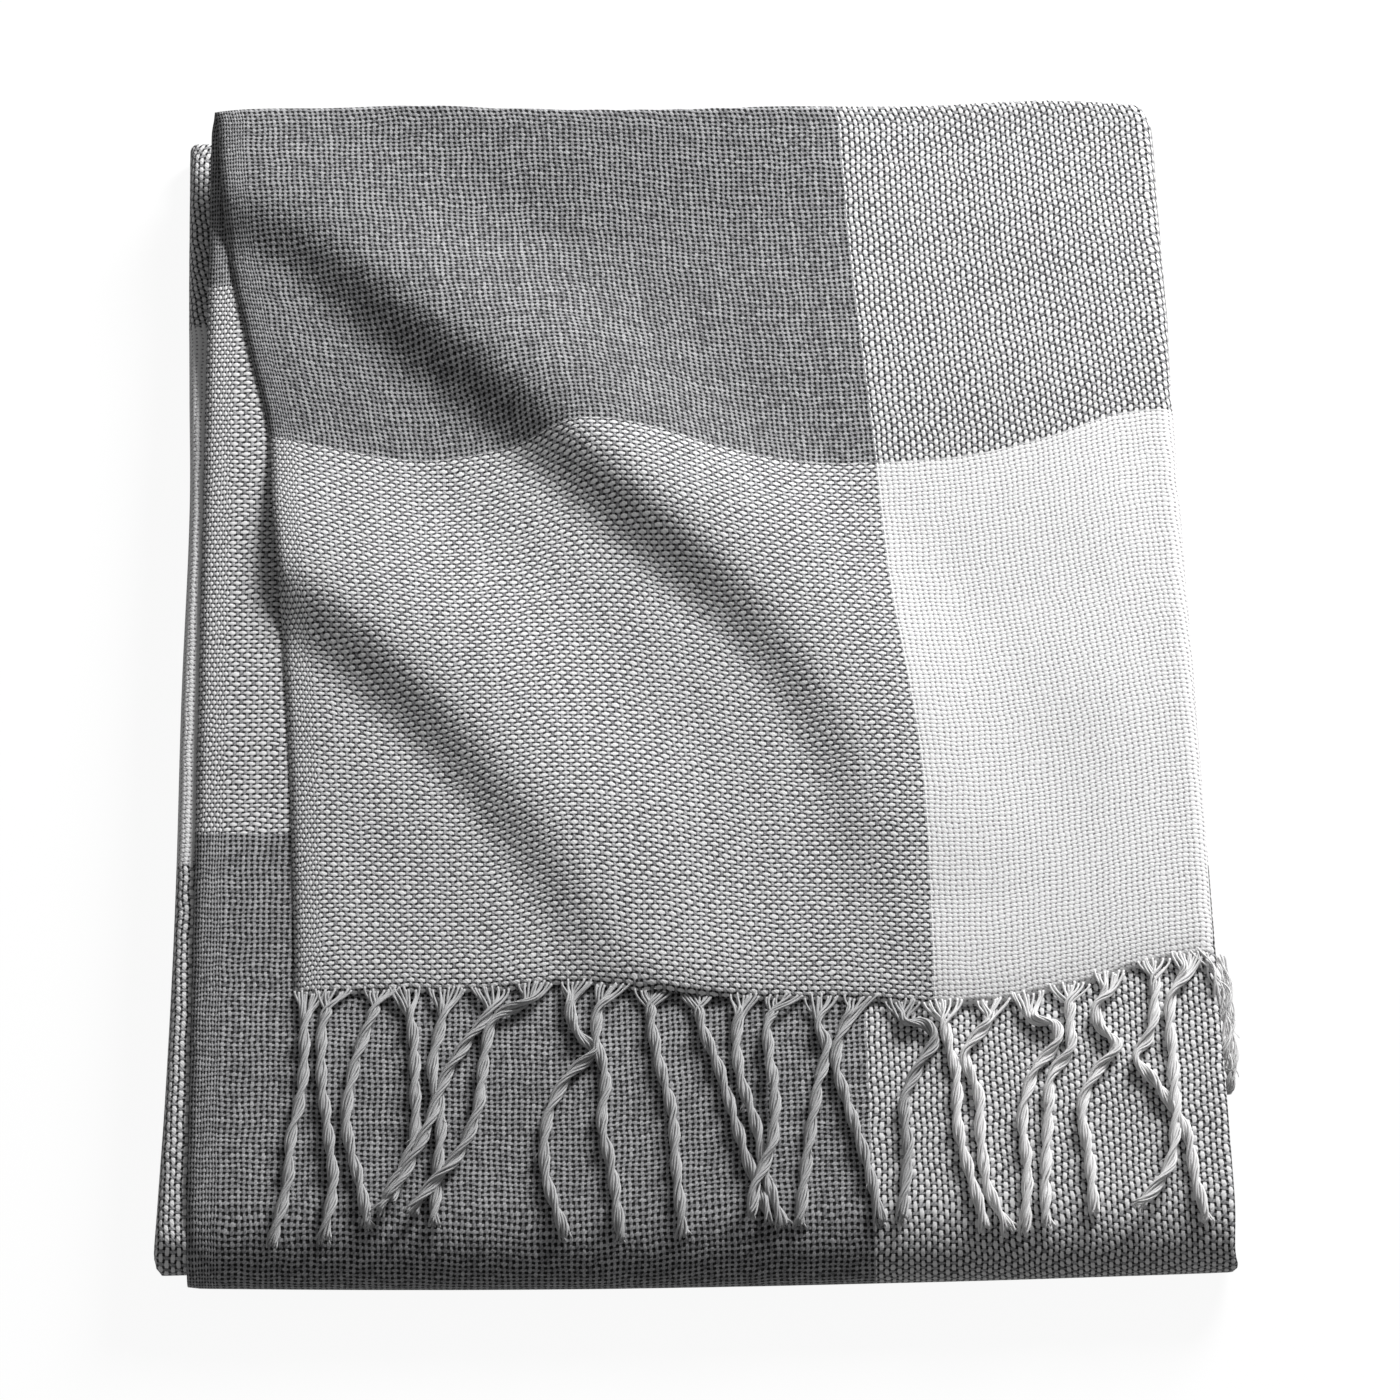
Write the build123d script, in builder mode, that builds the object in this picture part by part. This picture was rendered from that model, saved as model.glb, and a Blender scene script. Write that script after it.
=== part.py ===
from build123d import *
import os
from math import pi, sin

# A throw blanket: one rectangle of cloth with a fringe on both short ends, folded to a flat pack.
# Millimetres. +Z is up and the pack lies on Z = 0. X runs across the pack, from its open side
# (low X, where the cloth's own edge shows) to its folded side. +Y runs from the front edge, where
# the tail is tucked under, to the back edge, where the flap is folded over.
#
# The cloth is folded three ways, in this order:
#   1. at the back edge the end of the cloth is turned over, and becomes the flap,
#   2. the whole width is folded in three, first, second and third panel, like a Z,
#   3. at the front edge the other end is tucked under, and becomes the tail.
# That stacks nine layers. Layer 1 lies on the ground and layer 9 is the flap that shows on top.

# Driving dimensions
cloth_width = 1272
cloth_length = 1700
cloth_thickness = 2.0
layer_pitch = 4.6
pack_width = 493.6
pack_length = 696.6
flap_length = 551
flap_skew = 46
flap_inset = 2.8
tassel_pitch = 18.6
tassel_diameter = 6.4
tassel_length = 126
tassel_unevenness = 5
tassel_count = 23
tassel_gap = 0.4
flat_tassel_width = 8
flat_tassel_thickness = cloth_thickness
flat_fringe_length = 118
fold_tassel_diameter = 6.0
fold_tassel_spread = 5.85
fold_tassel_inset = 3.0

# Layers, by number from the ground up
FLAP = 9
MAIN = 8
SECOND_MAIN = 7
SECOND_FLAP = 6
THIRD_FLAP = 5
THIRD_MAIN = 4
THIRD_TAIL = 3
SECOND_TAIL = 2
FIRST_TAIL = 1


def layer_height(layer):
    """The height of the middle of a layer of cloth."""
    return cloth_thickness / 2 + (layer - 1) * layer_pitch


def fold_radius(layer_a, layer_b):
    """The radius of the middle of the cloth where it turns from one layer to another."""
    return abs(layer_a - layer_b) * layer_pitch / 2


def fold_reach(layer_a, layer_b):
    """How far the outside of such a fold stands out from where the flat layers end."""
    return fold_radius(layer_a, layer_b) + cloth_thickness / 2


def fold_length(layer_a, layer_b):
    """How much cloth goes into such a fold."""
    return pi * fold_radius(layer_a, layer_b)


# Where the flat layers end and the folds begin
front_y = -pack_length / 2 + fold_reach(MAIN, FIRST_TAIL)
back_y = pack_length / 2 - fold_reach(FLAP, MAIN)
hem_y = back_y - flap_length
outer_x = pack_width / 2 - fold_reach(FLAP, SECOND_FLAP)
inner_x = outer_x + layer_pitch / 2
flap_left_x = -outer_x + flap_inset
hem_left_x = flap_left_x + flap_skew

# What is left of the cloth for the third panel, and for the tail under each panel
main_across = (outer_x + inner_x) + fold_length(MAIN, SECOND_MAIN) + (inner_x + outer_x)
third_main_x = -outer_x + cloth_width - main_across - fold_length(SECOND_MAIN, THIRD_MAIN)
flap_across = (outer_x - flap_left_x) + fold_length(FLAP, SECOND_FLAP) + (outer_x + inner_x)
third_flap_x = -inner_x + cloth_width - flap_across - fold_length(SECOND_FLAP, THIRD_FLAP)
tail_across = (outer_x + inner_x) + 2 * inner_x + 2 * fold_length(FIRST_TAIL, SECOND_TAIL)
third_tail_x = -inner_x + cloth_width - tail_across
length_to_front = flap_length + fold_length(FLAP, MAIN) + (back_y - front_y)
first_tail_y = front_y + cloth_length - length_to_front - fold_length(MAIN, FIRST_TAIL)
second_tail_y = front_y + cloth_length - length_to_front - fold_length(SECOND_MAIN, SECOND_TAIL)
third_tail_y = front_y + cloth_length - length_to_front - fold_length(THIRD_MAIN, THIRD_TAIL)


def finish(piece, label):
    """Names a finished piece and writes its file."""
    piece.part.label = label
    export_step(piece.part, f"parts/{label}.step")


def flat_layer(label, layer, corners):
    """One flat layer of cloth, outlined by its corners in plan."""
    with BuildPart() as panel:
        with BuildSketch(Plane.XY.offset(layer_height(layer) - cloth_thickness / 2)):
            with BuildLine():
                Polyline(*corners, close=True)
            make_face()
        extrude(amount=cloth_thickness)
    finish(panel, label)


def rectangle_corners(x_low, x_high, y_low, y_high):
    """The corners of a rectangle in plan."""
    return [(x_low, y_low), (x_high, y_low), (x_high, y_high), (x_low, y_high)]


def fold_profile(layer_a, layer_b, place, outward):
    """Half a ring of cloth that opens away from the outward side (1 or -1) of place."""
    middle = (layer_height(layer_a) + layer_height(layer_b)) / 2
    outside = fold_reach(layer_a, layer_b)
    with Locations((place, middle)):
        Circle(outside)
        Circle(outside - cloth_thickness, mode=Mode.SUBTRACT)
        side = Align.MIN if outward > 0 else Align.MAX
        Rectangle(outside, 2 * outside, align=(side, Align.CENTER), mode=Mode.INTERSECT)


def side_fold(label, layer_a, layer_b, x, outward, y_low, y_high):
    """A fold that runs along Y, at the left or the right side of the pack."""
    with BuildPart() as fold:
        with BuildSketch(Plane.XZ.offset(-y_high)):
            fold_profile(layer_a, layer_b, x, outward)
        extrude(amount=y_high - y_low)
    finish(fold, label)


def end_fold(label, layer_a, layer_b, y, outward, x_low, x_high):
    """A fold that runs along X, at the front or the back edge of the pack."""
    with BuildPart() as fold:
        with BuildSketch(Plane.YZ.offset(x_low)):
            fold_profile(layer_a, layer_b, y, outward)
        extrude(amount=x_high - x_low)
    finish(fold, label)


def hanging_tassel(label, x, z, diameter, length):
    """One twisted tassel of the fringe, from the flap's hem towards the front edge."""
    with BuildPart() as tassel:
        with BuildSketch(Plane.XZ.offset(-hem_y)):
            with Locations((x, z)):
                Circle(diameter / 2)
        extrude(amount=length)
        fillet(tassel.faces().sort_by(Axis.Y)[0].edges(), radius=diameter / 4)
    finish(tassel, label)


def flat_fringe(label, layer, x_low, x_high, y_root, direction):
    """A row of pressed tassels between two layers of cloth, from y_root towards direction."""
    count = int((x_high - x_low) / tassel_pitch)
    middle_y = y_root + direction * flat_fringe_length / 2
    with BuildPart() as fringe:
        with BuildSketch(Plane.XY.offset(layer_height(layer) - flat_tassel_thickness / 2)):
            with Locations(((x_low + x_high) / 2, middle_y)):
                with GridLocations(tassel_pitch, 1, count, 1):
                    Rectangle(flat_tassel_width, flat_fringe_length)
        extrude(amount=flat_tassel_thickness)
    finish(fringe, label)


os.makedirs("parts", exist_ok=True)

# The cloth's flat layers, from the top of the pack down
flat_layer("front_flap", FLAP,
           [(hem_left_x, hem_y), (outer_x, hem_y), (outer_x, back_y), (flap_left_x, back_y)])
flat_layer("main_face", MAIN, rectangle_corners(-outer_x, inner_x, front_y, back_y))
flat_layer("second_panel_face", SECOND_MAIN, rectangle_corners(-outer_x, inner_x, front_y, back_y))
flat_layer("second_panel_flap", SECOND_FLAP, rectangle_corners(-inner_x, outer_x, hem_y, back_y))
flat_layer("third_panel_flap", THIRD_FLAP,
           [(-inner_x, hem_y), (third_flap_x + flap_skew, hem_y), (third_flap_x, back_y), (-inner_x, back_y)])
flat_layer("third_panel_face", THIRD_MAIN, rectangle_corners(-outer_x, third_main_x, front_y, back_y))
flat_layer("third_panel_tail", THIRD_TAIL, rectangle_corners(-inner_x, third_tail_x, front_y, third_tail_y))
flat_layer("second_panel_tail", SECOND_TAIL, rectangle_corners(-inner_x, inner_x, front_y, second_tail_y))
flat_layer("first_panel_tail", FIRST_TAIL, rectangle_corners(-outer_x, inner_x, front_y, first_tail_y))

# The folds that join the first panel to the second, on the right
side_fold("right_fold_outer", FLAP, SECOND_FLAP, outer_x, 1, hem_y, back_y)
side_fold("right_fold_inner", MAIN, SECOND_MAIN, inner_x, 1, front_y, back_y)
side_fold("right_fold_tail", FIRST_TAIL, SECOND_TAIL, inner_x, 1, front_y, first_tail_y)

# The folds that join the second panel to the third, on the left
side_fold("left_fold_outer", SECOND_MAIN, THIRD_MAIN, -outer_x, -1, front_y, back_y)
side_fold("left_fold_inner", SECOND_FLAP, THIRD_FLAP, -inner_x, -1, hem_y, back_y)
side_fold("left_fold_tail", SECOND_TAIL, THIRD_TAIL, -inner_x, -1, front_y, second_tail_y)

# The folds that turn the flap over, at the back
end_fold("back_fold_first_panel", FLAP, MAIN, back_y, 1, flap_left_x, outer_x)
end_fold("back_fold_second_panel", SECOND_MAIN, SECOND_FLAP, back_y, 1, -outer_x, outer_x)
end_fold("back_fold_third_panel", THIRD_FLAP, THIRD_MAIN, back_y, 1, -outer_x, third_main_x)

# The folds that tuck the tail under, at the front
end_fold("front_fold_first_panel", MAIN, FIRST_TAIL, front_y, -1, -outer_x, inner_x)
end_fold("front_fold_second_panel", SECOND_MAIN, SECOND_TAIL, front_y, -1, -outer_x, inner_x)
end_fold("front_fold_third_panel", THIRD_MAIN, THIRD_TAIL, front_y, -1, -outer_x, third_main_x)

# The fringe that shows: loose tassels, which lie on the main face
tassel_z = layer_height(MAIN) + cloth_thickness / 2 + tassel_gap + tassel_diameter / 2
for number in range(tassel_count):
    tassel_x = hem_left_x + tassel_pitch * (number + 0.5)
    length = tassel_length + tassel_unevenness * sin(1.7 * number)
    hanging_tassel(f"tassel_{number + 1:02d}", tassel_x, tassel_z, tassel_diameter, length)

# Two more tassels hang where the hem turns down over the right fold
fold_tassel_x = pack_width / 2 - fold_tassel_inset
right_fold_z = (layer_height(MAIN) + layer_height(SECOND_MAIN)) / 2
for name, side in (("right_fold_tassel_upper", 1), ("right_fold_tassel_lower", -1)):
    hanging_tassel(name, fold_tassel_x, right_fold_z + side * fold_tassel_spread,
                   fold_tassel_diameter, tassel_length)

# The fringe that is hidden, pressed flat inside the pack
flat_fringe("inner_fringe_second_panel", SECOND_FLAP, -inner_x, outer_x, hem_y, -1)
flat_fringe("inner_fringe_third_panel", THIRD_FLAP, -inner_x, third_flap_x + flap_skew, hem_y, -1)
flat_fringe("tail_fringe_first_panel", FIRST_TAIL, -outer_x, inner_x, first_tail_y, 1)
flat_fringe("tail_fringe_second_panel", SECOND_TAIL, -inner_x, inner_x, second_tail_y, 1)
flat_fringe("tail_fringe_third_panel", THIRD_TAIL, -inner_x, third_tail_x, third_tail_y, 1)
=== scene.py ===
"""A folded throw blanket: one continuous woven cloth, and the twisted tassels of its fringe.

Lengths are in millimetres up to the moment that a mesh is made, and Blender gets metres. The cloth
is described flat, by u across it from the selvedge that shows and v along it from the hem of the
flap. fold() says where each point of the flat cloth lies once the throw is folded.
"""

from math import cos, pi, radians, sin

import bpy
import numpy as np
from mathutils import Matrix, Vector


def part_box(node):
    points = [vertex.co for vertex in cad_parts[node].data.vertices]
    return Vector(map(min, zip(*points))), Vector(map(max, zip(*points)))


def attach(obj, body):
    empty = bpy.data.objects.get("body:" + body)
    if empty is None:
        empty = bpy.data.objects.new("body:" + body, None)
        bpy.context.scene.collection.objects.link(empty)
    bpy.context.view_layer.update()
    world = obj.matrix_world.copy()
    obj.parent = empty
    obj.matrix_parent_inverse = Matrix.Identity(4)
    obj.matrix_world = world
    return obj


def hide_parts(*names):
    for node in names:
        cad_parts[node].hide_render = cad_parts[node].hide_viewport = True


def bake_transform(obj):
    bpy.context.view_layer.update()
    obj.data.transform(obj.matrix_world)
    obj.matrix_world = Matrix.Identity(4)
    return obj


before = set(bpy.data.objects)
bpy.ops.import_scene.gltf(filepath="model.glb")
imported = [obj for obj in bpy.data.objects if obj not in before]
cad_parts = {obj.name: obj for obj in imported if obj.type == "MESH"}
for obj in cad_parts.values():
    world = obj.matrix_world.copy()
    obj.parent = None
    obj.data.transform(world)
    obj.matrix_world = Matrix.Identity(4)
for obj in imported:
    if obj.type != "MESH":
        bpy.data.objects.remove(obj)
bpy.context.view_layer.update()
MM = 0.001

# ---------------------------------------------------------------- sizes

CLOTH_WIDTH = 1272
CLOTH_LENGTH = 1700
THICKNESS = 2.0
STRIPE = 318
BAND = 340
YARN_PITCH = 2.8
SELVEDGE = 14
REST_GAP = 2.2          # how far the flap settles below its own layer, onto the main face
SUNK_PITCH = 4.0        # and how far apart the lower layers lie where they sink to the ground
SEED = 7


def node_mm(name):
    """The lowest and highest corner of a CAD node, in millimetres."""
    low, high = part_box(name)
    return np.array(low) / MM, np.array(high) / MM


def mid_height(name):
    """The height of the middle of a flat layer."""
    low, high = node_mm(name)
    return (low[2] + high[2]) / 2


# Heights of the nine layers, by panel (first, second, third) and by part (flap, main, tail)
HEIGHTS = [
    [mid_height("front_flap"), mid_height("main_face"), mid_height("first_panel_tail")],
    [mid_height("second_panel_flap"), mid_height("second_panel_face"), mid_height("second_panel_tail")],
    [mid_height("third_panel_flap"), mid_height("third_panel_face"), mid_height("third_panel_tail")],
]
HEIGHTS[0][0] -= REST_GAP
PITCH = HEIGHTS[0][1] - HEIGHTS[1][1]
FRONT_Y = node_mm("main_face")[0][1]
BACK_Y = node_mm("main_face")[1][1]
LEFT_X = node_mm("main_face")[0][0]
OUTSIDE_X = node_mm("right_fold_outer")[1][0] - THICKNESS / 2
BACK_RADIUS = PITCH / 2
BACK_HALF = pi * BACK_RADIUS / 2
MAIN_RUN = BACK_Y - FRONT_Y
FACE_TOP = HEIGHTS[0][1] + THICKNESS / 2
FRONT_RADIUS = [(HEIGHTS[p][1] - HEIGHTS[p][2]) / 2 for p in range(3)]


# ---------------------------------------------------------------- small tools

def smooth(value, start, end):
    """0 before start, 1 after end, and a smooth step between."""
    t = np.clip((value - start) / (end - start), 0, 1)
    return t * t * (3 - 2 * t)


def through(points, at):
    """A smooth line through a few (place, value) points, level beyond the first and the last."""
    place, value = np.array(points, float).T
    slope = np.gradient(value, place)
    at = np.clip(at, place[0], place[-1])
    i = np.clip(np.searchsorted(place, at) - 1, 0, len(place) - 2)
    gap = place[i + 1] - place[i]
    t = (at - place[i]) / gap
    return (
        (1 + 2 * t) * (1 - t) ** 2 * value[i]
        + t * (1 - t) ** 2 * gap * slope[i]
        + t * t * (3 - 2 * t) * value[i + 1]
        + t * t * (t - 1) * gap * slope[i + 1]
    )


def ripple(x, y, scale, seed):
    """Gentle seeded waviness from -1 to 1, about one wave per scale."""
    draw = np.random.default_rng(seed)
    total = 0
    for _ in range(6):
        angle = draw.uniform(0, pi)
        wave = 2 * pi / (scale * draw.uniform(0.7, 1.5))
        total = total + np.sin(wave * (x * cos(angle) + y * sin(angle)) + draw.uniform(0, 2 * pi))
    return total / 6


# ---------------------------------------------------------------- how the cloth lies

# Along the flap, from the hem: where its selvedge and its first stripe's edge lie across the pack
FLAP_SELVEDGE = [(0, -190), (75, -192), (129, -194), (225, -199), (300, -204.5), (340, -206.5),
                 (403, -218), (461, -228), (505, -232.5), (566, -236)]
FLAP_STRIPE = [(0, 112), (147, 111), (265, 100), (348, 96), (492, 87.5), (566, 85)]
# Across the cloth: where the hem, the first band's edge and the back fold lie
HEM = [(0, -202), (53, -201), (102, -201), (132, -198), (172, -203), (232, -209), (276, -210),
       (318, -214), (349, -213), (373, -207), (391, -203), (410, -196), (440, -189), (490, -193),
       (700, -204), (1272, -206)]
FIRST_BAND = [(0, 139), (47, 125), (85, 120), (122, 126), (165, 136), (206, 130), (234, 121),
              (270, 114), (318, 113.5), (362, 117), (407, 129), (438, 142), (475, 147),
              (700, 138), (1272, 134)]
BACK_FOLD = [(0, 566), (85, 565), (172, 562), (290, 571), (373, 567), (430, 551), (480, 540),
             (700, 545), (1272, 550)]
# The left side of the pack leans out towards the front, and is not quite straight
LEFT_SIDE = [(-348, -254), (-255, -250), (-142, -247.5), (-25, -247), (126, -245.5), (181, -247),
             (271, -249.5), (345, -250.5)]
# The back and the front edge bow out a little, by place across the cloth
BACK_EDGE = [(0, 6), (60, 6.5), (95, 4.5), (130, 1.5), (180, -1), (270, -1.5), (330, 0), (385, 3),
             (420, 4.5), (450, 3), (480, 0.5), (520, 0), (840, 0), (930, 5), (1100, 5), (1272, 2)]
FRONT_EDGE = [(0, -1.5), (60, -3.5), (150, -5.5), (300, -6), (480, -3.5), (560, -1), (1272, 0)]
FRONT_SLOPE = 2.4       # how far the main face has sunk where it turns down at the front
FRONT_ROLL = 18         # the outermost front fold is that much deeper than it is high
LEFT_BULGE = 3.0        # the left folds are pressed flat, and stand out only this far
LEFT_LIFT = 2.0         # how far the second panel is pushed up against the main face at its left edge
RIGHT_TUCK = 8          # how far the inner right fold stays back from the outer one at the back

# Crests of the two soft ridges that cross the flap: x, y and height
RIDGES = [
    [(-232, 300, 7), (-182, 270, 9.5), (-131, 216, 12.5), (-76, 162, 13), (-7, 84, 12.5),
     (36, 33, 9.5), (66, -17, 7.5), (86, -66, 6), (94, -114, 4.5), (102, -160, 1.5)],
    [(-204, 61, 8), (-165, 25, 10.5), (-121, -25, 10.5), (-83, -80, 8.5), (-54, -129, 6.5),
     (-31, -182, 3.5)],
]
STEEP_SIDE = 34         # how far a ridge reaches on its front left side
SHALLOW_SIDE = 92       # and on its back right side
RUCK_HEIGHT = 6.0       # the flap rises this much where it nears the back edge
WAVINESS = 0.9          # and this much in gentle waves all over
EDGE_DROP = 0.8         # its hem and selvedge lie this much lower than the rest of it
RIGHT_SHARE = 0.45      # the lower layers sink this much less at the right than at the left
RIGHT_SWELL = 1.2       # the right folds stand out a little further than half their height
RIGHT_FOLD_U = 480.0    # about where the two side folds come on the flat cloth
LEFT_FOLD_U = 980.0


def ridge_height(x, y):
    """How far the ridges lift the flap."""
    lift = np.zeros_like(x)
    for crest in RIDGES:
        points = np.array(crest, float)
        share = np.linspace(0, len(crest) - 1, 90)
        places = np.arange(len(crest))
        line = np.stack([through(list(zip(places, points[:, k])), share) for k in range(3)], 1)
        away = np.full(x.shape, 1e9)
        height = np.zeros_like(x)
        for start, end in zip(line[:-1], line[1:]):
            run = end[:2] - start[:2]
            t = np.clip(((x - start[0]) * run[0] + (y - start[1]) * run[1]) / (run @ run), 0, 1)
            off_x = x - start[0] - t * run[0]
            off_y = y - start[1] - t * run[1]
            shallow = run[0] * off_y - run[1] * off_x > 0
            distance = np.hypot(off_x, off_y) / np.where(shallow, SHALLOW_SIDE, STEEP_SIDE)
            nearer = distance < away
            away = np.where(nearer, distance, away)
            height = np.where(nearer, start[2] + t * (end[2] - start[2]), height)
        lift = lift + height * (1 + np.cos(pi * np.minimum(away, 1))) / 2
    return lift


def right_radius(v, fold_v):
    """The radius of the fold between the first and the second panel."""
    flap = (HEIGHTS[0][0] - HEIGHTS[1][0]) / 2
    return flap + (PITCH / 2 - flap) * smooth(v, fold_v - BACK_HALF, fold_v + BACK_HALF)


def left_radius(v, fold_v, front_v):
    """The radius of the fold between the second and the third panel."""
    wide = (HEIGHTS[1][1] - HEIGHTS[2][1]) / 2
    opened = smooth(v, fold_v - BACK_HALF, fold_v + BACK_HALF)
    closed = smooth(v, front_v, front_v + pi * FRONT_RADIUS[1])
    return PITCH / 2 + (wide - PITCH / 2) * opened * (1 - closed)


def front_reach(panel):
    """The length of cloth in a panel's front fold."""
    roll = FRONT_ROLL if panel == 0 else 0
    return pi * np.sqrt((FRONT_RADIUS[panel] ** 2 + (FRONT_RADIUS[panel] + roll) ** 2) / 2)


def run_along(panel, u, v, fold_v, front_v):
    """The y and z of a panel's own folded line, and its shares of flap, main and tail."""
    hem, band = through(HEM, u), through(FIRST_BAND, u)
    turn = np.clip((v - fold_v + BACK_HALF) / (2 * BACK_HALF), 0, 1) * pi
    radius = FRONT_RADIUS[panel]
    roll = FRONT_ROLL if panel == 0 else 0
    turned = front_reach(panel)
    tuck = np.clip((v - front_v + roll) / turned, 0, 1) * pi
    to_main, to_tail = (1 - np.cos(turn)) / 2, (1 - np.cos(tuck)) / 2

    before = hem + (band - hem) * np.minimum(v, BAND) / BAND
    back, front = BACK_Y + through(BACK_EDGE, u), FRONT_Y + through(FRONT_EDGE, u)
    above = (back - band) / (fold_v - BACK_HALF - BAND)
    on_flap = before + above * np.clip(v - BAND, 0, fold_v - BACK_HALF - BAND)
    on_main = back + (front - back) * np.clip((v - fold_v - BACK_HALF) / MAIN_RUN, 0, 1 - roll / MAIN_RUN)
    y = np.where(v < fold_v, on_flap, on_main) + BACK_RADIUS * np.sin(turn)
    y = y - (radius + roll) * np.sin(tuck) + np.clip(v - front_v + roll - turned, 0, None)

    flap_z, main_z, tail_z = HEIGHTS[panel]
    z = flap_z + (main_z - flap_z) * to_main + (tail_z - main_z) * to_tail
    return y, z, to_main, to_tail


def front_slope(y):
    """How far the layers have sunk on their way to the front edge."""
    return FRONT_SLOPE * smooth(-y, 255, 350)


def fold(u, v):
    """Where the point (u, v) of the flat cloth lies on the folded throw, as x, y and z."""
    fold_v = through(BACK_FOLD, u)
    front_v = fold_v + BACK_HALF + MAIN_RUN
    over = smooth(v, fold_v - 14, fold_v + 14)

    # The side folds: where they come on the cloth, and how far through them the point is
    right_r = right_radius(v, through(BACK_FOLD, np.full_like(u, RIGHT_FOLD_U)))
    left_r = left_radius(v, through(BACK_FOLD, np.full_like(u, LEFT_FOLD_U)), front_v)
    selvedge = through(FLAP_SELVEDGE, v) * (1 - over) + LEFT_X * over
    stripe = through(FLAP_STRIPE, v) * (1 - over) + (LEFT_X + STRIPE) * over
    lines = [run_along(panel, u, v, fold_v, front_v) for panel in range(3)]
    y_second = lines[1][0]
    right_x = OUTSIDE_X - right_r - RIGHT_TUCK * over * smooth(y_second, 200, 320)
    start_right = STRIPE + right_x - stripe
    end_right = start_right + pi * right_r
    bulge = np.minimum(left_r, LEFT_BULGE)
    left_x = through(LEFT_SIDE, y_second) + bulge
    start_left = end_right + right_x - left_x
    end_left = start_left + pi * np.sqrt((left_r ** 2 + bulge ** 2) / 2)
    turn_right = np.clip((u - start_right) / (end_right - start_right), 0, 1) * pi
    turn_left = np.clip((u - start_left) / (end_left - start_left), 0, 1) * pi
    second = (1 - np.cos(turn_right)) / 2
    third = (1 - np.cos(turn_left)) / 2

    # Across: out along the first panel, back along the second, out along the third
    first_x = np.where(u < STRIPE, selvedge + (stripe - selvedge) * u / STRIPE, stripe + u - STRIPE)
    x = np.where(u < start_right, first_x, right_x)
    x = x - np.clip(u - end_right, 0, start_left - end_right)
    x = x + np.clip(u - end_left, 0, None)

    y = [line[0] for line in lines]
    z = [line[1] for line in lines]

    # Only the first panel's flap shows, so it alone carries the ridges and the fullest waviness
    flap = 1 - lines[0][2]
    settle = REST_GAP * np.exp(-np.clip(BACK_Y - y[0], 0, None) / 22)
    ruck = RUCK_HEIGHT * smooth(y[0], 256, 338) * smooth(x, -190, -120) * (1 - smooth(x, 40, 150))
    calm = smooth(right_x - x, 0, 40)
    edge = np.minimum(u, v)
    wavy = WAVINESS * calm * smooth(edge, 0, 50) * (1 + ripple(x, y[0], 105, SEED))
    wavy = wavy - EDGE_DROP * (1 - smooth(edge, 0, 16))
    on_top = ridge_height(x, y[0]) * calm + ruck + settle + wavy
    z[0] = z[0] + flap * on_top
    main = lines[0][2] * (1 - lines[0][3])
    z[0] = z[0] + main * 0.35 * ripple(x, y[0], 90, SEED + 1)
    for panel in range(3):
        z[panel] = z[panel] - (1 - lines[panel][3]) * lines[panel][2] * front_slope(y[panel])

    # At the left the second panel is pushed up against the main face
    second_main = lines[1][2] * (1 - lines[1][3])
    raised = second_main * (1 - smooth(x, -238, -150)) * (1 - smooth(y[1], 60, 220))
    z[1] = z[1] + LEFT_LIFT * raised

    # Behind the tail nothing holds the lower layers up, so they sink, at the left to the ground
    for panel, on_flap, on_main in ((1, 2, 3), (2, 1, 0)):
        to_main = lines[panel][2]
        rank = on_flap + (on_main - on_flap) * to_main
        sunk = THICKNESS / 2 + 0.6 + rank * SUNK_PITCH
        sink = smooth(y[panel], 150, 300) * (1 - RIGHT_SHARE * smooth(x, -150, 130))
        z[panel] = z[panel] + (sunk - z[panel]) * sink

    def across(values):
        joined = values[0] + (values[1] - values[0]) * second
        return joined + (values[2] - values[1]) * third

    right_gap = np.hypot(y[0] - y[1], z[0] - z[1]) / 2
    left_gap = np.hypot(y[1] - y[2], z[1] - z[2]) / 2
    x = x + np.minimum(right_gap, RIGHT_SWELL * right_r) * np.sin(turn_right)
    x = x - np.minimum(left_gap, bulge) * np.sin(turn_left)
    return np.stack([x, across(y), np.maximum(across(z), THICKNESS / 2)], -1), front_v


# ---------------------------------------------------------------- the cloth's mesh

def spaced(*stretches):
    """Grid lines over (start, end, step) stretches that follow each other."""
    lines = []
    for start, end, step in stretches:
        lines.extend(np.linspace(start, end, max(1, round((end - start) / step)), endpoint=False))
    return np.array(lines + [stretches[-1][1]])


def grid_faces(rows, columns, first, flip):
    """Quads over a grid of vertices that starts at number first."""
    i, j = np.meshgrid(np.arange(rows - 1), np.arange(columns - 1), indexing="ij")
    a = (first + i * columns + j).ravel()
    corners = [a, a + 1, a + columns + 1, a + columns]
    return np.stack(corners[::-1] if flip else corners, 1)


def rim_faces(rows, columns, top, bottom):
    """Quads that close the edge between two such grids."""
    round_it = (
        list(range(columns))
        + [i * columns + columns - 1 for i in range(1, rows)]
        + [(rows - 1) * columns + j for j in range(columns - 2, -1, -1)]
        + [i * columns for i in range(rows - 2, 0, -1)]
    )
    ring = np.array(round_it)
    after = np.roll(ring, -1)
    return np.stack([top + after, top + ring, bottom + ring, bottom + after], 1)


def make_mesh(name, points_mm, faces, material, **values):
    """A smooth mesh object from points in millimetres, with a float attribute for each value."""
    mesh = bpy.data.meshes.new(name)
    mesh.from_pydata((points_mm * MM).tolist(), [], faces)
    for key, value in values.items():
        mesh.attributes.new(key, "FLOAT", "POINT").data.foreach_set("value", value.astype(np.float32))
    mesh.polygons.foreach_set("use_smooth", np.ones(len(mesh.polygons), bool))
    mesh.materials.append(material)
    mesh.update()
    made = bpy.data.objects.new(name, mesh)
    bpy.context.scene.collection.objects.link(made)
    return made


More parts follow.
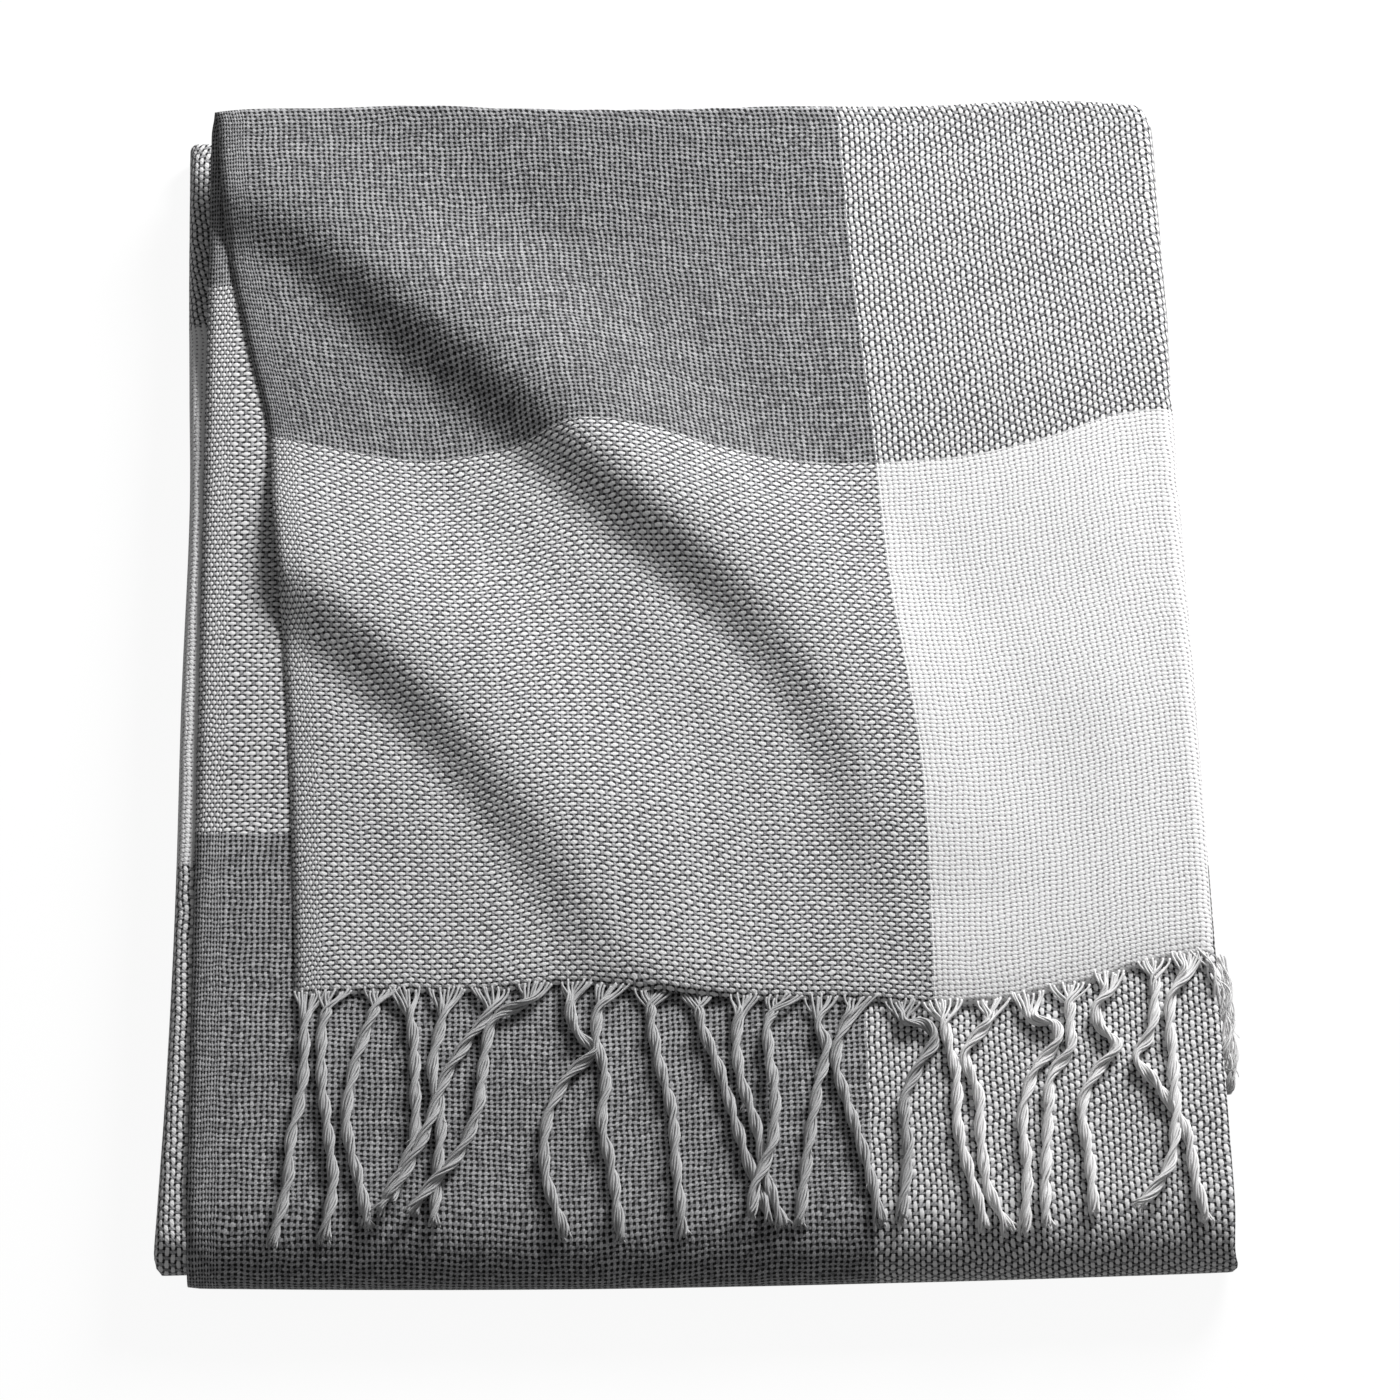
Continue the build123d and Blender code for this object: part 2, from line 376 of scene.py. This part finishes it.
def make_cloth(material):
    """The whole throw as one closed sheet."""
    # The grid is fine where the cloth folds or shows, and coarse where it lies flat inside the pack
    u_lines = spaced((0, 440, 5.4), (440, 500, 1.9), (500, 938, 26), (938, 1000, 2.3),
                     (1000, CLOTH_WIDTH, 26))
    v_lines = spaced((0, 528, 5.6), (528, 582, 1.9), (582, 1200, 9), (1200, 1312, 2.4),
                     (1312, CLOTH_LENGTH, 28))
    v, u = np.meshgrid(v_lines, u_lines, indexing="ij")
    middle, front_v = fold(u, v)
    step = 0.5
    along_u = fold(u + step, v)[0] - fold(u - step, v)[0]
    along_v = fold(u, v + step)[0] - fold(u, v - step)[0]
    normal = np.cross(along_u, along_v)
    normal = normal / np.maximum(np.linalg.norm(normal, axis=-1, keepdims=True), 1e-9)
    edge = np.minimum.reduce([u, v, CLOTH_WIDTH - u, CLOTH_LENGTH - v])
    half = (THICKNESS / 2 * (0.35 + 0.65 * smooth(edge, 0, 7)))[..., None]
    sides = [middle + normal * half, middle - normal * half]
    rows, columns = u.shape
    count = rows * columns
    points = np.concatenate([side.reshape(-1, 3) for side in sides])
    faces = np.concatenate([
        grid_faces(rows, columns, 0, False),
        grid_faces(rows, columns, count, True),
        rim_faces(rows, columns, 0, count),
    ])
    cloth = make_mesh("blanket_cloth", points, faces.tolist(), material,
                      cloth_u=np.tile(u.ravel(), 2), cloth_v=np.tile(v.ravel(), 2))
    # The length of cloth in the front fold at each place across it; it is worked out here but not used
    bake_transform(cloth)
    second, third = smooth(u, 470, 490), smooth(u, 970, 995)
    reach = front_reach(0) + (front_reach(1) - front_reach(0)) * second
    reach = reach + (front_reach(2) - front_reach(1)) * third
    return cloth


# ---------------------------------------------------------------- materials

class Nodes:
    """A material's nodes, written as sums."""

    def __init__(self, name):
        self.material = bpy.data.materials.new(name)
        self.material.use_nodes = True
        self.tree = self.material.node_tree
        self.shader = self.tree.nodes["Principled BSDF"]

    def put(self, socket, value):
        if isinstance(value, bpy.types.NodeSocket):
            self.tree.links.new(value, socket)
        elif value is not None:
            socket.default_value = value

    def add(self, kind, inputs=(), output=0, **settings):
        node = self.tree.nodes.new(kind)
        for key, value in settings.items():
            setattr(node, key, value)
        for key, value in dict(inputs).items():
            self.put(node.inputs[key], value)
        return node.outputs[output]

    def math(self, operation, *values, clamp=False):
        return self.add("ShaderNodeMath", dict(enumerate(values)), operation=operation, use_clamp=clamp)

    def value(self, attribute):
        return self.add("ShaderNodeAttribute", output="Fac", attribute_name=attribute)

    def random(self, number):
        return self.add("ShaderNodeTexWhiteNoise", {"W": number}, "Value", noise_dimensions="1D")

    def noise(self, x, y, scale, detail=2.0):
        place = self.add("ShaderNodeCombineXYZ", {"X": x, "Y": y})
        return self.add("ShaderNodeTexNoise", {"Vector": place, "Scale": scale, "Detail": detail}, "Fac",
                        noise_dimensions="2D")

    def ramp(self, value, start, end, low=0.0):
        """Low before start, 1 after end, and a smooth step between."""
        return self.add("ShaderNodeMapRange", {"Value": value, "From Min": start, "From Max": end,
                                               "To Min": low}, interpolation_type="SMOOTHSTEP")

    def mix(self, share, low, high):
        return self.add("ShaderNodeMix", {"Factor": share, 6: low, 7: high}, 2, data_type="RGBA")

    def bounced(self, colour, level):
        """A yarn's colour at a light level: light bounces between pale yarns, so their gaps stay pale."""
        seen = self.add("ShaderNodeVectorMath", {0: colour, 3: level}, operation="SCALE")
        lost = self.add("ShaderNodeVectorMath", {0: (1, 1, 1), 1: colour}, operation="SUBTRACT")
        whole = self.add("ShaderNodeVectorMath", {0: lost, 1: seen}, operation="ADD")
        return self.add("ShaderNodeVectorMath", {0: seen, 1: whole}, operation="DIVIDE")


GREY_YARN = (0.35, 0.35, 0.36, 1)
WHITE_YARN = (0.95, 0.947, 0.95, 1)
WARP_WIDTH = 0.37       # half a yarn's width, as a share of the pitch
WEFT_WIDTH = 0.39
WAVE = 0.42             # how far a yarn rises and dips, and how round it is, as shares of the pitch
ROUNDNESS = 0.58
WEAVE_DEPTH = 0.6       # the relief of the weave, in millimetres


def woven(name):
    """Plain weave in grey and white checks, worked out from the cloth's own u and v."""
    n = Nodes(name)
    u, v = n.value("cloth_u"), n.value("cloth_v")
    # The warp is set twice as close in the two selvedges
    near = n.math("MINIMUM", u, SELVEDGE)
    far = n.math("MAXIMUM", n.math("SUBTRACT", u, CLOTH_WIDTH - SELVEDGE), 0)
    set_u = n.math("DIVIDE", n.math("ADD", n.math("ADD", u, near), far), YARN_PITCH)
    set_v = n.math("DIVIDE", v, YARN_PITCH)
    wander_u = n.math("MULTIPLY", n.math("SUBTRACT", n.noise(set_u, set_v, 0.16), 0.5), 0.9)
    wander_v = n.math("MULTIPLY", n.math("SUBTRACT", n.noise(set_v, set_u, 0.19), 0.5), 1.1)
    p = n.math("ADD", set_u, wander_u)
    q = n.math("ADD", set_v, wander_v)
    end, pick = n.math("FLOOR", p), n.math("FLOOR", q)
    off_end = n.math("SUBTRACT", n.math("SUBTRACT", p, end), 0.5)
    off_pick = n.math("SUBTRACT", n.math("SUBTRACT", q, pick), 0.5)

    def yarn(off, number, along, width, sign):
        """Height of one set of yarns: a round section that rises and dips over the other set."""
        slub = n.noise(n.math("MULTIPLY", number, 3.7), along, 0.35, 1.0)
        thick = n.math("MULTIPLY", n.math("ADD", n.math("MULTIPLY", slub, 0.36), 0.82), width)
        side = n.math("DIVIDE", off, thick)
        round_off = n.math("SUBTRACT", 1, n.math("MULTIPLY", side, side))
        section = n.math("SQRT", n.math("MAXIMUM", round_off, 0))
        phase = n.math("MULTIPLY", n.math("ADD", n.math("SUBTRACT", along, 0.5), number), pi)
        wave = n.math("MULTIPLY", n.math("COSINE", phase), WAVE * sign)
        inside = n.math("LESS_THAN", n.math("ABSOLUTE", side), 1)
        height = n.math("ADD", wave, n.math("MULTIPLY", section, ROUNDNESS))
        return n.math("SUBTRACT", n.math("MULTIPLY", n.math("ADD", height, 2), inside), 2), side

    warp, warp_side = yarn(off_end, end, q, WARP_WIDTH, 1)
    weft, weft_side = yarn(off_pick, pick, p, WEFT_WIDTH, -1)
    top = n.math("MAXIMUM", warp, weft)
    warp_shows = n.math("GREATER_THAN", warp, weft)
    weft_shows = n.math("SUBTRACT", 1, warp_shows)
    height = n.math("ADD", n.math("MULTIPLY", n.math("MAXIMUM", top, -0.5), 0.66), 0.33, clamp=True)

    def of_top(warp_value, weft_value):
        """The value of whichever yarn is on top."""
        return n.math("ADD", n.math("MULTIPLY", warp_shows, warp_value),
                      n.math("MULTIPLY", weft_shows, weft_value))

    white_warp = n.math("MODULO", n.math("FLOOR", n.math("DIVIDE", u, STRIPE)), 2)
    grey_weft = n.math("MODULO", n.math("FLOOR", n.math("DIVIDE", v, BAND)), 2)
    white_weft = n.math("SUBTRACT", 1, grey_weft)
    pale = of_top(white_warp, white_weft)
    colour = n.mix(pale, GREY_YARN, WHITE_YARN)

    # Each yarn has its own tone and its spinning shows as fine slanting lines; painted shade darkens its
    # sides and the places where it dips under the other set
    tone = of_top(n.random(end), n.random(n.math("ADD", pick, 977)))
    place = n.add("ShaderNodeCombineXYZ", {"X": end, "Y": pick})
    float_tone = n.add("ShaderNodeTexWhiteNoise", {"Vector": place}, "Value", noise_dimensions="2D")
    tone = n.math("ADD", n.math("MULTIPLY", tone, 0.24), n.math("MULTIPLY", float_tone, 0.36))
    tone = n.math("ADD", tone, 0.74)
    lines_warp = n.math("ADD", n.math("MULTIPLY", q, 11), n.math("MULTIPLY", warp_side, 4))
    lines_weft = n.math("ADD", n.math("MULTIPLY", p, 11), n.math("MULTIPLY", weft_side, 4))
    spun = of_top(n.math("SINE", lines_warp), n.math("SINE", lines_weft))
    fleck = n.noise(u, v, 0.9, 3.0)
    shade = n.math("ADD", n.math("MULTIPLY", fleck, 0.9), 0.6)
    shade = n.math("ADD", n.math("MULTIPLY", spun, 0.12), shade)
    # Painted shade: the lower the yarn's surface, the darker it is painted
    depth_shade = n.ramp(height, 0.28, 0.85, 0.08)
    level = n.math("MULTIPLY", n.math("MULTIPLY", tone, shade), depth_shade)
    # Painted shade fills the small holes where four yarns meet, where the yarns shade each other; it is
    # lighter where all four are white, as light bounces between them
    hole_shade = n.math("MULTIPLY", n.ramp(n.math("ABSOLUTE", off_end), 0.17, 0.33),
                  n.ramp(n.math("ABSOLUTE", off_pick), 0.15, 0.31))
    all_white = n.math("MULTIPLY", white_warp, white_weft)
    darkest_shade = n.math("SUBTRACT", 0.97, n.math("MULTIPLY", all_white, 0.45))
    level = n.math("MULTIPLY", level, n.math("SUBTRACT", 1, n.math("MULTIPLY", hole_shade, darkest_shade)))
    # Grey yarns are shaded harder than white ones
    level = n.math("POWER", level, n.math("SUBTRACT", 2.5, n.math("MULTIPLY", pale, 1.2)))
    n.put(n.shader.inputs["Base Color"], n.bounced(colour, level))
    n.shader.inputs["Roughness"].default_value = 0.88
    n.shader.inputs["Specular IOR Level"].default_value = 0.25
    n.shader.inputs["Sheen Weight"].default_value = 0.12
    n.shader.inputs["Sheen Roughness"].default_value = 0.5
    rough_height = n.math("ADD", height, n.math("MULTIPLY", n.math("ADD", spun, fleck), 0.05))
    bump = n.add("ShaderNodeBump", {"Strength": 1.0, "Distance": WEAVE_DEPTH * MM, "Height": rough_height})
    n.put(n.shader.inputs["Normal"], bump)
    return n.material


def spun_yarn(name, colour):
    """Loose spun yarn for the fringe, worked out from each yarn's own length and girth."""
    n = Nodes(name)
    along, around, number = n.value("yarn_along"), n.value("yarn_around"), n.value("yarn_number")
    slant = n.math("ADD", n.math("MULTIPLY", along, 3.4), n.math("MULTIPLY", around, 2))
    fibre_and_highlight = n.noise(slant, n.math("ADD", number, n.math("MULTIPLY", along, 0.12)), 1.4, 3.0)
    patch = n.noise(n.math("MULTIPLY", along, 0.12), number, 1.0, 2.0)
    tone = n.math("ADD", n.math("MULTIPLY", n.random(number), 0.30), 0.72)
    # Fibre streaks, with painted highlights along the strands and painted shade between them
    level = n.math("MULTIPLY", tone, n.math("SUBTRACT", n.math("MULTIPLY", fibre_and_highlight, 2.4), 0.15))
    level = n.math("MULTIPLY", level, n.math("ADD", n.math("MULTIPLY", patch, 0.3), 0.95))
    n.put(n.shader.inputs["Base Color"], n.bounced(colour, n.math("MAXIMUM", level, 0.05)))
    n.shader.inputs["Roughness"].default_value = 0.82
    n.shader.inputs["Specular IOR Level"].default_value = 0.3
    n.shader.inputs["Sheen Weight"].default_value = 0.15
    bump = n.add("ShaderNodeBump", {"Strength": 0.7, "Distance": 0.3 * MM, "Height": fibre_and_highlight})
    n.put(n.shader.inputs["Normal"], bump)
    return n.material


# ---------------------------------------------------------------- the fringe

YARN_RADIUS = 0.62
PLY_OFFSET = 1.35
YARN_OFFSET = 1.05
PLY_TWIST = 36.0
YARN_TWIST = 40.0
TASSEL_PITCH = 18.6
HEM_LINE = -204         # the y that the tassels' distances are counted from
ROOT_REACH = 20         # nearer than this, they are counted from the hem itself
LIE = 2.9               # how far a tassel's middle lies above the face
INSET = 4               # the first hidden tassel is this far from the edge of its panel
PRESSED = 1.4           # and the hidden ones are pressed to this half height

# The visible tassels, left to right. Each is (x, distance from the hem) points along its length,
# then how far it lies up on its neighbours at its root, middle and tip.
TASSELS = [
    ([(-183, 0), (-185, 15), (-185, 37), (-187, 59), (-191, 80), (-192, 101), (-200, 137)], (0, 0, 0)),
    ([(-172, 0), (-176, 15), (-177, 40), (-173, 80), (-171, 104), (-176, 136)], (0, 0, 1)),
    ([(-149, 0), (-153, 12), (-161, 37), (-165, 70), (-158, 107), (-154, 130)], (0, 0, 0)),
    ([(-138, 0), (-135, 17), (-133, 53), (-134, 83), (-145, 110), (-151, 124)], (0, 0, 3)),
    ([(-118, 0), (-120, 15), (-125, 42), (-121, 67), (-122, 90), (-125, 129)], (0, 0, 0)),
    ([(-98, 0), (-97, 8), (-108, 26), (-118, 45), (-127, 75), (-146, 118)], (0, 2, 5)),
    ([(-76, 0), (-79, 8), (-94, 17), (-101, 40), (-104, 66), (-112, 88), (-130, 113), (-137, 124)],
     (0, 1, 3)),
    ([(-57, 0), (-60, 12), (-56, 24), (-49, 32), (-60, 45), (-71, 69), (-73, 95), (-63, 136)], (0, 0, 0)),
    ([(-40, 0), (-46, 11), (-48, 25), (-44, 48), (-46, 74), (-42, 97), (-38, 138)], (1, 0, 0)),
    ([(-21, 0), (-22, 12), (-19, 38), (-13, 70), (-12, 98), (-9, 137)], (0, 0, 0)),
    ([(0, 0), (1, 14), (9, 43), (15, 69), (22, 98), (32, 131)], (0, 0, 0)),
    ([(22, 0), (18, 20), (19, 48), (26, 78), (31, 110), (38, 132)], (0, 1, 0)),
    ([(42, 0), (33, 13), (33, 36), (35, 66), (33, 88), (24, 115), (22, 131)], (0, 4, 7)),
    ([(59, 0), (57, 18), (59, 28), (55, 56), (50, 87), (44, 133)], (0, 0, 0)),
    ([(77, 0), (68, 17), (64, 40), (68, 62), (74, 86), (83, 132)], (0, 0, 0)),
    ([(97, 0), (97, 11), (106, 21), (111, 28), (104, 43), (96, 61), (96, 91), (91, 131)], (0, 0, 0)),
    ([(115, 0), (117, 20), (120, 48), (120, 82), (125, 108), (131, 136)], (0, 0, 0)),
    ([(140, 0), (135, 14), (132, 27), (125, 38), (130, 60), (130, 87), (134, 118), (143, 137)], (0, 0, 0)),
    ([(156, 0), (158, 14), (168, 23), (169, 30), (158, 47), (150, 75), (151, 101), (148, 138)], (0, 0, 0)),
    ([(176, 0), (175, 22), (174, 38), (166, 49), (162, 76), (159, 110), (158, 136)], (0, 0, 1)),
    ([(196, 0), (194, 9), (188, 18), (189, 25), (196, 34), (186, 50), (179, 65), (180, 98), (181, 131)],
     (0, 0, 0)),
    ([(217, 0), (216, 18), (211, 32), (205, 41), (214, 58), (225, 81), (229, 112), (233, 134)], (0, 0, 0)),
    ([(234, 0), (232, 9), (226, 18), (222, 47), (221, 81), (217, 103), (207, 120), (199, 128)], (0, 1, 6)),
]
WHITE_FROM = 17


def tube(line, radius, sides, along):
    """A yarn round a line of points: its vertices, faces, length and girth values."""
    run = np.gradient(line, axis=0)
    run = run / np.linalg.norm(run, axis=1, keepdims=True)
    up = np.array([0.0, 0.0, 1.0])
    aside = np.cross(run, up)
    short = np.linalg.norm(aside, axis=1, keepdims=True) < 0.2
    aside = np.where(short, np.cross(run, [1.0, 0.0, 0.0]), aside)
    aside = aside / np.linalg.norm(aside, axis=1, keepdims=True)
    over = np.cross(aside, run)
    angles = np.arange(sides) * 2 * pi / sides
    ring = aside[:, None] * np.cos(angles)[:, None] + over[:, None] * np.sin(angles)[:, None]
    points = line[:, None] + ring * radius[:, None, None]
    count = len(line)
    i, j = np.meshgrid(np.arange(count - 1), np.arange(sides), indexing="ij")
    a = (i * sides + j).ravel()
    b = (i * sides + (j + 1) % sides).ravel()
    faces = np.stack([a, a + sides, b + sides, b], 1)
    ends = [list(range(sides)), list(range((count - 1) * sides, count * sides))[::-1]]
    return points.reshape(-1, 3), faces, ends, np.repeat(along, sides), np.tile(angles, count)


def sampled(points, step):
    """A smooth line through points, as positions a step apart."""
    points = np.array(points, float)
    length = np.concatenate([[0], np.cumsum(np.linalg.norm(np.diff(points, axis=0), axis=1))])
    fine = np.arange(0, length[-1], 0.5)
    line = np.stack([through(list(zip(length, points[:, k])), fine) for k in range(points.shape[1])], 1)
    along = np.concatenate([[0], np.cumsum(np.linalg.norm(np.diff(line, axis=0), axis=1))])
    even = np.linspace(0, along[-1], max(6, round(along[-1] / step)))
    return np.stack([np.interp(even, along, line[:, k]) for k in range(points.shape[1])], 1), even


def twisted(line, along, draw, fan, flat=1.0, yarns=5, hairs=4, loose=0.0):
    """The yarns of one two-ply tassel: each is a line, its radius, and its distance along."""
    run = np.gradient(line, axis=0)
    run = run / np.linalg.norm(run, axis=1, keepdims=True)
    aside = np.stack([-run[:, 1], run[:, 0], 0 * run[:, 0]], 1)
    aside = aside / np.maximum(np.linalg.norm(aside, axis=1, keepdims=True), 1e-6)
    over = np.cross(run, aside)
    over = over * np.sign(over[:, 2:3] + 1e-9)
    start = draw.uniform(0, 2 * pi)
    end = along[-1]
    frayed = smooth(along, end - 9, end) + loose
    found = []
    total = 2 * yarns
    for ply in range(2):
        for strand in range(yarns):
            turn = start + pi * ply - 2 * pi * along / PLY_TWIST * draw.uniform(0.99, 1.01)
            own = 2 * pi * (strand + draw.uniform(-0.15, 0.15)) / yarns - 2 * pi * along / YARN_TWIST
            wide = PLY_OFFSET * np.cos(turn) + YARN_OFFSET * np.cos(own)
            high = PLY_OFFSET * np.sin(turn) + YARN_OFFSET * np.sin(own)
            spread = 1 + frayed * draw.uniform(0.1, 0.75)
            sway = frayed * draw.uniform(-1.5, 1.5)
            helix = line - aside * (wide * spread + sway)[:, None] + over * (high * flat * spread)[:, None]
            place = (ply * yarns + strand + 0.5) / total * 2 - 1
            root = line[0] + np.array([place * fan + draw.uniform(-1.3, 1.3), draw.uniform(0.5, 3.5), -0.9])
            gather = smooth(along, 0, draw.uniform(10, 15))[:, None]
            straight = root + (line - line[0])
            path = straight * (1 - gather) + helix * gather
            drift = ripple(along, 0 * along, 34, int(draw.integers(1000))) * loose * 3.2
            path = path + aside * drift[:, None] + over * (drift[::-1] * 0.7)[:, None]
            keep = along <= end - draw.uniform(0, 3.5)
            found.append((path[keep], YARN_RADIUS * (1 - 0.3 * frayed[keep]), along[keep]))
    for _ in range(hairs):
        begin = draw.uniform(0.15, 0.93) * end
        reach = draw.uniform(4, 10)
        part = (along >= begin) & (along <= begin + reach)
        if part.sum() < 4:
            continue
        out = smooth(along[part], begin, begin + reach)[:, None]
        lean = aside[part] * draw.uniform(-4.5, 4.5) + over[part] * draw.uniform(0, 1.5)
        found.append((line[part] + aside[part] * draw.uniform(-1.5, 1.5) + lean * out,
                      np.full(part.sum(), 0.16), along[part]))
    return found


def make_tassels(name, bundles, material, sides):
    """One object from the yarns of one or more tassels."""
    points, faces, along, around, number = [], [], [], [], []
    first = 0
    for index, (line, radius, distance) in enumerate(bundles):
        new_points, new_faces, new_ends, new_along, new_around = tube(line, radius, sides, distance)
        points.append(new_points)
        faces.extend((new_faces + first).tolist())
        faces.extend([[k + first for k in cap] for cap in new_ends])
        along.append(new_along)
        around.append(new_around)
        number.append(np.full(len(new_points), index + 1.0))
        first += len(new_points)
    return make_mesh(name, np.concatenate(points), faces, material, yarn_along=np.concatenate(along),
                     yarn_around=np.concatenate(around), yarn_number=np.concatenate(number))


def face_height(y):
    """The top of the main face, which turns down at the front edge."""
    outer = FRONT_RADIUS[0] + THICKNESS / 2
    past = np.clip((FRONT_Y - 5 + FRONT_ROLL - y) / (outer + FRONT_ROLL), 0, 0.98)
    return FACE_TOP - outer * (1 - np.sqrt(1 - past ** 2)) - front_slope(y)


def hem_at(x):
    """The y of the flap's hem at a place across the pack."""
    places = np.array([through(FLAP_SELVEDGE, 0.0), through(FLAP_STRIPE, 0.0)])
    u = np.where(x < places[1], (x - places[0]) * STRIPE / (places[1] - places[0]), STRIPE + x - places[1])
    return through(HEM, np.clip(u, 0, 440))


def visible_tassel(number, draw):
    """The yarns of one tassel that hangs from the hem over the main face."""
    path, lifts = TASSELS[number]
    root_y = float(hem_at(path[0][0]))
    points = [(x, HEM_LINE - d if d > ROOT_REACH else root_y - d) for x, d in path]
    line, along = sampled(points, 1.25)
    share = along / along[-1]
    lift = through([(0, lifts[0]), (0.5, lifts[1]), (1, lifts[2])], share)
    waver = 0.5 * np.sin(along / 9 + draw.uniform(0, 6))
    z = face_height(line[:, 1]) + LIE + lift * 0.8 + waver * 0.4
    return twisted(np.column_stack([line, z]), along, draw, fan=draw.uniform(8.0, 9.6))


def pressed_fringe(node, direction, draw, yarns):
    """The yarns of a hidden row of tassels, pressed flat between two layers."""
    low, high = node_mm(node)
    count = round((high[0] - low[0] - 2 * INSET) / TASSEL_PITCH) + 1
    middle_z = (low[2] + high[2]) / 2
    bundles = []
    for x in np.linspace(low[0] + INSET, high[0] - INSET, count):
        root = low[1] if direction > 0 else high[1]
        reach = high[1] - low[1]
        points = [(x + draw.uniform(-1.5, 1.5) * k, root + direction * reach * s)
                  for k, s in ((0, 0), (1, 0.3), (2, 0.65), (3, 1.0))]
        line, along = sampled(points, 3.0)
        z = np.full(len(line), middle_z)
        for one in twisted(np.column_stack([line, z]), along, draw, 0.0, 0.45, yarns, 0):
            path, radius, distance = one
            pressed = middle_z + np.clip(path[:, 2] - middle_z, -PRESSED, PRESSED)
            path[:, 2] = np.maximum(pressed, YARN_RADIUS)
            bundles.append((path, radius * 0.8, distance))
    return bundles


def fold_tassels(draw):
    """The two loose tassels where the hem turns down over the right fold."""
    side = OUTSIDE_X + 1.0
    upper = [(side - 8, -188, FACE_TOP + 2.5), (side - 2.5, -200, FACE_TOP + 1.5), (side + 1, -213, 32),
             (side + 2, -227, 29), (side + 0.5, -239, 26), (side - 1, -244, 22), (side + 2, -234, 18),
             (side + 3, -220, 15)]
    lower = [(side - 1, -187, 31), (side + 3, -198, 28), (side + 4.5, -212, 25), (side + 5, -228, 22),
             (side + 4, -241, 18), (side + 3, -250, 14), (side + 2, -246, 9), (side + 3, -232, 7)]
    made = []
    for path, loose in ((upper, 0.75), (lower, 0.55)):
        line, along = sampled(path, 1.25)
        made.append(twisted(line, along, draw, fan=5.5, hairs=22, loose=loose))
    return made


# ---------------------------------------------------------------- putting it together

cloth_material = woven("cloth_plain_weave")
grey_yarn = spun_yarn("fringe_grey_yarn", (0.56, 0.56, 0.565))
white_yarn = spun_yarn("fringe_white_yarn", (0.97, 0.965, 0.965))
cloth = make_cloth(cloth_material)
FLAT_NODES = [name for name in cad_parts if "tassel" not in name and "fringe" not in name]
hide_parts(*FLAT_NODES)


def place_fringe(node, bundles, white, body, sides=5):
    """Makes a fringe piece that stands for a CAD node."""
    piece = make_tassels(f"yarn_{node}", bundles, white_yarn if white else grey_yarn, sides)
    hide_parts(node)
    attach(piece, body)


for number in range(len(TASSELS)):
    draw = np.random.default_rng(100 + number)
    place_fringe(f"tassel_{number + 1:02d}", visible_tassel(number, draw), number + 1 >= WHITE_FROM,
                 "folded_pack")
for node, bundles in zip(("right_fold_tassel_upper", "right_fold_tassel_lower"),
                         fold_tassels(np.random.default_rng(200))):
    place_fringe(node, bundles, True, "folded_pack")
# The hidden rows: node, the way they point along y, body, and yarns per ply
HIDDEN = [
    ("inner_fringe_second_panel", -1, "folded_pack", 1),
    ("inner_fringe_third_panel", -1, "folded_pack", 1),
    ("tail_fringe_first_panel", 1, "tail", 3),
    ("tail_fringe_second_panel", 1, "tail", 3),
    ("tail_fringe_third_panel", 1, "tail", 4),
]
for index, (node, direction, body, yarns) in enumerate(HIDDEN):
    draw = np.random.default_rng(300 + index)
    place_fringe(node, pressed_fringe(node, direction, draw, yarns), False, body, sides=4)

# ---------------------------------------------------------------- studio

HALF_FLOOR = 12.0
KEY_DISTANCE = 2.8
KEY_AZIMUTH, KEY_ELEVATION = radians(57), radians(27)
LOOK = Vector((0.01365, 0.60166, -0.79864)).normalized()
LOOK_AT = Vector((5.2, -31.3, 36)) * MM
CAMERA_DISTANCE = 3.541

floor_mesh = bpy.data.meshes.new("floor")
floor_mesh.from_pydata([(-HALF_FLOOR, -HALF_FLOOR, 0), (HALF_FLOOR, -HALF_FLOOR, 0),
                        (HALF_FLOOR, HALF_FLOOR, 0), (-HALF_FLOOR, HALF_FLOOR, 0)], [], [(0, 1, 2, 3)])
floor = bpy.data.objects.new("floor", floor_mesh)
bpy.context.scene.collection.objects.link(floor)
pale = Nodes("floor_pale")
pale.shader.inputs["Base Color"].default_value = (0.10, 0.10, 0.10, 1)
pale.shader.inputs["Roughness"].default_value = 1.0
pale.shader.inputs["Specular IOR Level"].default_value = 0.0
pale.shader.inputs["Emission Color"].default_value = (1, 1, 1, 1)
pale.shader.inputs["Emission Strength"].default_value = 0.93
floor_mesh.materials.append(pale.material)
floor.visible_diffuse = False

world = bpy.data.worlds.new("studio")
bpy.context.scene.world = world
world.use_nodes = True
world.node_tree.nodes["Background"].inputs["Color"].default_value = (1.0, 1.0, 1.0, 1)
world.node_tree.nodes["Background"].inputs["Strength"].default_value = 0.16

key = bpy.data.lights.new("key", "AREA")
key.shape = "DISK"
key.size = 1.1
key.energy = 124
key_object = bpy.data.objects.new("key", key)
bpy.context.scene.collection.objects.link(key_object)
towards_key = Vector((cos(KEY_AZIMUTH) * cos(KEY_ELEVATION), sin(KEY_AZIMUTH) * cos(KEY_ELEVATION),
                      sin(KEY_ELEVATION)))
key_object.location = towards_key * KEY_DISTANCE
key_object.rotation_euler = towards_key.to_track_quat("Z", "Y").to_euler()

camera = bpy.data.cameras.new("camera")
camera.lens = 187.2
camera.sensor_width = 36
camera.clip_end = 100
camera_object = bpy.data.objects.new("camera", camera)
bpy.context.scene.collection.objects.link(camera_object)
camera_object.location = LOOK_AT - LOOK * CAMERA_DISTANCE
camera_object.rotation_euler = LOOK.to_track_quat("-Z", "Y").to_euler()
bpy.context.scene.camera = camera_object
bpy.context.scene.view_settings.view_transform = "Standard"
